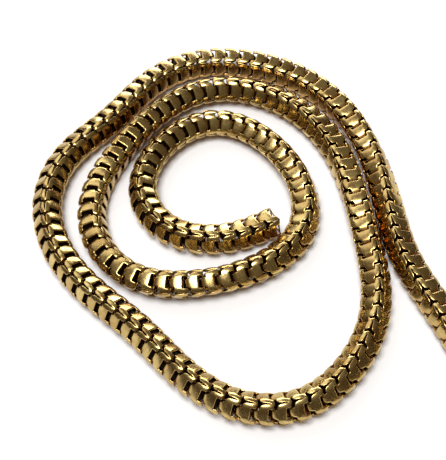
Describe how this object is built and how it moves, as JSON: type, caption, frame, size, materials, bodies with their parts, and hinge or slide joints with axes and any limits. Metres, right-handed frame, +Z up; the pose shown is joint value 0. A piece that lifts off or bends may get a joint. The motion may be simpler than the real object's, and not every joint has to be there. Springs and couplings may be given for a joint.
{
  "type": "pocket watch chain",
  "caption": "Square snake chain for a gentlemen's pocket watch, lying in a loose coil, with a bare open end and a swivel snap hook.",
  "frame": {"origin": "the middle of the bounding box, on the table plane that the chain lies on", "axes": "+X runs to the right of the coil for a viewer facing it, towards the side where the free run leaves it; +Y runs away from the snap hook, across the coil; +Z is up, square to the table."},
  "size_m": [0.065, 0.0926, 0.0045],
  "materials": {
    "chain_brass": "polished, worn, with dark patina in the recesses",
    "fitting_brass": "polished, worn",
    "pin_brass": "satin",
    "spring_steel": "satin"
  },
  "bodies": {
    "link_001": {"link_001": "chain_brass"},
    "link_002": {"link_002": "chain_brass"},
    "link_003": {"link_003": "chain_brass"},
    "link_004": {"link_004": "chain_brass"},
    "run_01": {"run_01": "chain_brass"},
    "run_02": {"run_02": "chain_brass"},
    "run_03": {"run_03": "chain_brass"},
    "run_04": {"run_04": "chain_brass"},
    "run_05": {"run_05": "chain_brass"},
    "run_06": {"run_06": "chain_brass"},
    "run_07": {"run_07": "chain_brass"},
    "run_08": {"run_08": "chain_brass"},
    "run_09": {"run_09": "chain_brass"},
    "run_10": {"run_10": "chain_brass"},
    "run_11": {"run_11": "chain_brass"},
    "run_12": {"run_12": "chain_brass"},
    "run_13": {"run_13": "chain_brass"},
    "run_14": {"run_14": "chain_brass"},
    "run_15": {"run_15": "chain_brass"},
    "run_16": {"run_16": "chain_brass"},
    "run_17": {"run_17": "chain_brass"},
    "run_18": {"run_18": "chain_brass"},
    "run_19": {"run_19": "chain_brass"},
    "run_20": {"run_20": "chain_brass"},
    "run_21": {"run_21": "chain_brass"},
    "run_22": {"run_22": "chain_brass"},
    "run_23": {"run_23": "chain_brass"},
    "run_24": {"run_24": "chain_brass"},
    "run_25": {"run_25": "chain_brass"},
    "run_26": {"run_26": "chain_brass"},
    "run_27": {"run_27": "chain_brass"},
    "run_28": {"run_28": "chain_brass"},
    "run_29": {"run_29": "chain_brass"},
    "run_30": {"run_30": "chain_brass"},
    "run_31": {"run_31": "chain_brass"},
    "run_32": {"run_32": "chain_brass"},
    "run_33": {"run_33": "chain_brass"},
    "run_34": {"run_34": "chain_brass"},
    "run_35": {"run_35": "chain_brass"},
    "run_36": {"run_36": "chain_brass"},
    "run_37": {"run_37": "chain_brass"},
    "run_38": {"run_38": "chain_brass"},
    "run_39": {"run_39": "chain_brass"},
    "run_40": {"run_40": "chain_brass"},
    "run_41": {"run_41": "chain_brass"},
    "run_42": {"run_42": "chain_brass"},
    "run_43": {"run_43": "chain_brass"},
    "link_177": {"link_177": "chain_brass"},
    "link_178": {"link_178": "chain_brass"},
    "link_179": {"link_179": "chain_brass"},
    "link_180": {"link_180": "chain_brass", "end_cup": "fitting_brass"},
    "swivel_fork": {"swivel_fork": "fitting_brass", "fork_pin": "pin_brass"},
    "hook": {"hook": "fitting_brass", "gate_pin": "pin_brass", "gate_spring": "spring_steel"},
    "gate": {"gate": "fitting_brass"}
  },
  "joints": [
    {"name": "gate_hinge", "type": "hinge", "parent": "hook", "child": "gate", "pos_m": [0.0281, -0.04009, 0.002], "axis": [0, 0, -1], "range_deg": [0, 28], "stiffness_Nm_per_rad": 0.0004, "springref_deg": -11.46},
    {"name": "hook_swivel", "type": "hinge", "parent": "swivel_fork", "child": "hook", "pos_m": [0.02631, -0.03413, 0.002], "axis": [-0.3043, -0.9526, 0], "continuous": true},
    {"name": "fork_hinge", "type": "hinge", "parent": "link_180", "child": "swivel_fork", "pos_m": [0.02704, -0.03184, 0.002], "axis": [0.9526, -0.3043, 0], "range_deg": [-85, 85]},
    {"name": "bend_002", "type": "hinge", "parent": "link_002", "child": "link_001", "pos_m": [0.0014, 0.01202, 0.00222], "axis": [0, 0, 1], "range_deg": [-8, 8]},
    {"name": "bend_003", "type": "hinge", "parent": "link_003", "child": "link_002", "pos_m": [-0.00059, 0.01109, 0.00222], "axis": [0.3798, -0.9251, 0], "range_deg": [-8, 8]},
    {"name": "bend_004", "type": "hinge", "parent": "link_004", "child": "link_003", "pos_m": [-0.00266, 0.01036, 0.00223], "axis": [0, 0, 1], "range_deg": [0, 8]},
    {"name": "bend_005", "type": "hinge", "parent": "run_01", "child": "link_004", "pos_m": [-0.00482, 0.00994, 0.00223], "axis": [0.101, -0.9949, 0], "range_deg": [-8, 8]},
    {"name": "bend_009", "type": "hinge", "parent": "run_02", "child": "run_01", "pos_m": [-0.01307, 0.01225, 0.00223], "axis": [0.649, 0.7608, 0], "range_deg": [-8, 8]},
    {"name": "bend_157", "type": "hinge", "parent": "run_38", "child": "run_39", "pos_m": [0.01917, 0.02174, 0.00219], "axis": [0.9785, 0.2063, 0], "range_deg": [-8, 8]},
    {"name": "bend_161", "type": "hinge", "parent": "run_39", "child": "run_40", "pos_m": [0.02054, 0.01305, 0.00223], "axis": [-0.9892, -0.1467, 0], "range_deg": [-8, 8]},
    {"name": "bend_165", "type": "hinge", "parent": "run_40", "child": "run_41", "pos_m": [0.02273, 0.00456, 0.00222], "axis": [0.9218, 0.3877, 0], "range_deg": [-8, 8]},
    {"name": "bend_169", "type": "hinge", "parent": "run_41", "child": "run_42", "pos_m": [0.02656, -0.00336, 0.00218], "axis": [0, 0, 1], "range_deg": [-8, 8]},
    {"name": "bend_173", "type": "hinge", "parent": "run_42", "child": "run_43", "pos_m": [0.02971, -0.01157, 0.00213], "axis": [0.9686, 0.2488, 0], "range_deg": [-8, 8]},
    {"name": "bend_177", "type": "hinge", "parent": "run_43", "child": "link_177", "pos_m": [0.03023, -0.02029, 0.00206], "axis": [0, 0, 1], "range_deg": [-8, 8]},
    {"name": "bend_178", "type": "hinge", "parent": "link_177", "child": "link_178", "pos_m": [0.02983, -0.02245, 0.00204], "axis": [0.9771, -0.2127, 0], "range_deg": [-8, 8]},
    {"name": "bend_179", "type": "hinge", "parent": "link_178", "child": "link_179", "pos_m": [0.0293, -0.02458, 0.00202], "axis": [0, 0, 1], "range_deg": [-8, 8]},
    {"name": "bend_180", "type": "hinge", "parent": "link_179", "child": "link_180", "pos_m": [0.02868, -0.0267, 0.002], "axis": [0.9562, -0.2927, 0], "range_deg": [-8, 8]},
    {"name": "bend_013", "type": "hinge", "parent": "run_03", "child": "run_02", "pos_m": [-0.01636, 0.02007, 0.00223], "axis": [-0.9981, 0.0612, 0], "range_deg": [-8, 8]},
    {"name": "bend_017", "type": "hinge", "parent": "run_04", "child": "run_03", "pos_m": [-0.01272, 0.0279, 0.00218], "axis": [0.7305, -0.6829, 0], "range_deg": [-8, 8]},
    {"name": "bend_021", "type": "hinge", "parent": "run_05", "child": "run_04", "pos_m": [-0.00503, 0.0316, 0.00213], "axis": [0.0372, 0.9993, 0], "range_deg": [-8, 8]},
    {"name": "bend_025", "type": "hinge", "parent": "run_06", "child": "run_05", "pos_m": [0.00261, 0.02765, 0.00223], "axis": [-0.7095, -0.7047, 0], "range_deg": [-8, 8]},
    {"name": "bend_029", "type": "hinge", "parent": "run_07", "child": "run_06", "pos_m": [0.00717, 0.02021, 0.00223], "axis": [0.9502, 0.3115, 0], "range_deg": [-8, 8]},
    {"name": "bend_033", "type": "hinge", "parent": "run_08", "child": "run_07", "pos_m": [0.00726, 0.01159, 0.00222], "axis": [-0.9253, 0.3792, 0], "range_deg": [-8, 8]},
    {"name": "bend_037", "type": "hinge", "parent": "run_09", "child": "run_08", "pos_m": [0.00122, 0.00541, 0.00217], "axis": [0.4888, -0.8724, 0], "range_deg": [-8, 8]},
    {"name": "bend_041", "type": "hinge", "parent": "run_10", "child": "run_09", "pos_m": [-0.00708, 0.00262, 0.00223], "axis": [-0.1628, 0.9867, 0], "range_deg": [-8, 8]},
    {"name": "bend_045", "type": "hinge", "parent": "run_11", "child": "run_10", "pos_m": [-0.01576, 0.00311, 0.00222], "axis": [-0.359, -0.9333, 0], "range_deg": [-8, 8]},
    {"name": "bend_049", "type": "hinge", "parent": "run_12", "child": "run_11", "pos_m": [-0.02217, 0.00886, 0.00223], "axis": [0.8842, 0.4671, 0], "range_deg": [-8, 8]},
    {"name": "bend_053", "type": "hinge", "parent": "run_13", "child": "run_12", "pos_m": [-0.02347, 0.01741, 0.00211], "axis": [-0.988, 0.1546, 0], "range_deg": [-8, 8]},
    {"name": "bend_057", "type": "hinge", "parent": "run_14", "child": "run_13", "pos_m": [-0.02021, 0.02553, 0.00216], "axis": [0.8628, -0.5056, 0], "range_deg": [-8, 8]},
    {"name": "bend_061", "type": "hinge", "parent": "run_15", "child": "run_14", "pos_m": [-0.01506, 0.03264, 0.00223], "axis": [-0.7304, 0.6831, 0], "range_deg": [-8, 8]},
    {"name": "bend_065", "type": "hinge", "parent": "run_16", "child": "run_15", "pos_m": [-0.00796, 0.0377, 0.00213], "axis": [0.3357, -0.942, 0], "range_deg": [-8, 8]},
    {"name": "bend_069", "type": "hinge", "parent": "run_17", "child": "run_16", "pos_m": [0.00069, 0.03775, 0.00221], "axis": [0.2864, 0.9581, 0], "range_deg": [-8, 8]},
    {"name": "bend_073", "type": "hinge", "parent": "run_18", "child": "run_17", "pos_m": [0.00816, 0.03327, 0.00223], "axis": [-0.6966, -0.7175, 0], "range_deg": [-8, 8]},
    {"name": "bend_077", "type": "hinge", "parent": "run_19", "child": "run_18", "pos_m": [0.01307, 0.02603, 0.00216], "axis": [0.918, 0.3965, 0], "range_deg": [-8, 8]},
    {"name": "bend_081", "type": "hinge", "parent": "run_20", "child": "run_19", "pos_m": [0.01537, 0.01756, 0.00213], "axis": [-0.9839, -0.1787, 0], "range_deg": [-8, 8]},
    {"name": "bend_085", "type": "hinge", "parent": "run_21", "child": "run_20", "pos_m": [0.0168, 0.00888, 0.00224], "axis": [0.9909, 0.1348, 0], "range_deg": [-8, 8]},
    {"name": "bend_089", "type": "hinge", "parent": "run_21", "child": "run_22", "pos_m": [0.01723, 0.00011, 0.00218], "axis": [-0.995, 0.0998, 0], "range_deg": [-8, 8]},
    {"name": "bend_093", "type": "hinge", "parent": "run_22", "child": "run_23", "pos_m": [0.01446, -0.00817, 0.00213], "axis": [0.8604, -0.5096, 0], "range_deg": [-8, 8]},
    {"name": "bend_097", "type": "hinge", "parent": "run_23", "child": "run_24", "pos_m": [0.00857, -0.01461, 0.00215], "axis": [-0.5463, 0.8376, 0], "range_deg": [-8, 8]},
    {"name": "bend_101", "type": "hinge", "parent": "run_24", "child": "run_25", "pos_m": [0.00018, -0.01656, 0.00217], "axis": [-0.1148, -0.9934, 0], "range_deg": [-8, 8]},
    {"name": "bend_105", "type": "hinge", "parent": "run_25", "child": "run_26", "pos_m": [-0.00777, -0.01306, 0.00219], "axis": [0.6114, 0.7913, 0], "range_deg": [-8, 8]},
    {"name": "bend_109", "type": "hinge", "parent": "run_26", "child": "run_27", "pos_m": [-0.014, -0.00686, 0.00222], "axis": [-0.7326, -0.6807, 0], "range_deg": [-8, 8]},
    {"name": "bend_113", "type": "hinge", "parent": "run_27", "child": "run_28", "pos_m": [-0.02045, -0.00089, 0.00223], "axis": [0.6503, 0.7597, 0], "range_deg": [-8, 8]},
    {"name": "bend_117", "type": "hinge", "parent": "run_28", "child": "run_29", "pos_m": [-0.02651, 0.00545, 0.00224], "axis": [-0.819, -0.5738, 0], "range_deg": [-8, 8]},
    {"name": "bend_121", "type": "hinge", "parent": "run_29", "child": "run_30", "pos_m": [-0.03005, 0.01344, 0.00215], "axis": [0.9805, 0.1964, 0], "range_deg": [-8, 8]},
    {"name": "bend_125", "type": "hinge", "parent": "run_30", "child": "run_31", "pos_m": [-0.0294, 0.0221, 0.00221], "axis": [-0.9376, 0.3476, 0], "range_deg": [-8, 8]},
    {"name": "bend_129", "type": "hinge", "parent": "run_31", "child": "run_32", "pos_m": [-0.02438, 0.02922, 0.00223], "axis": [0.715, -0.6992, 0], "range_deg": [-8, 8]},
    {"name": "bend_133", "type": "hinge", "parent": "run_32", "child": "run_33", "pos_m": [-0.01875, 0.03597, 0.00217], "axis": [-0.8043, 0.5942, 0], "range_deg": [-8, 8]},
    {"name": "bend_137", "type": "hinge", "parent": "run_33", "child": "run_34", "pos_m": [-0.01249, 0.04205, 0.00213], "axis": [0.5038, -0.8638, 0], "range_deg": [-8, 8]},
    {"name": "bend_141", "type": "hinge", "parent": "run_34", "child": "run_35", "pos_m": [-0.00407, 0.04417, 0.00208], "axis": [0.0161, 0.9999, 0], "range_deg": [-8, 8]},
    {"name": "bend_145", "type": "hinge", "parent": "run_35", "child": "run_36", "pos_m": [0.0045, 0.04237, 0.00204], "axis": [-0.3784, -0.9256, 0], "range_deg": [-8, 8]},
    {"name": "bend_149", "type": "hinge", "parent": "run_36", "child": "run_37", "pos_m": [0.0117, 0.03743, 0.002], "axis": [0.7287, 0.6848, 0], "range_deg": [-8, 8]},
    {"name": "bend_153", "type": "hinge", "parent": "run_37", "child": "run_38", "pos_m": [0.0165, 0.03011, 0.00222], "axis": [-0.9091, -0.4166, 0], "range_deg": [-8, 8]}
  ]
}
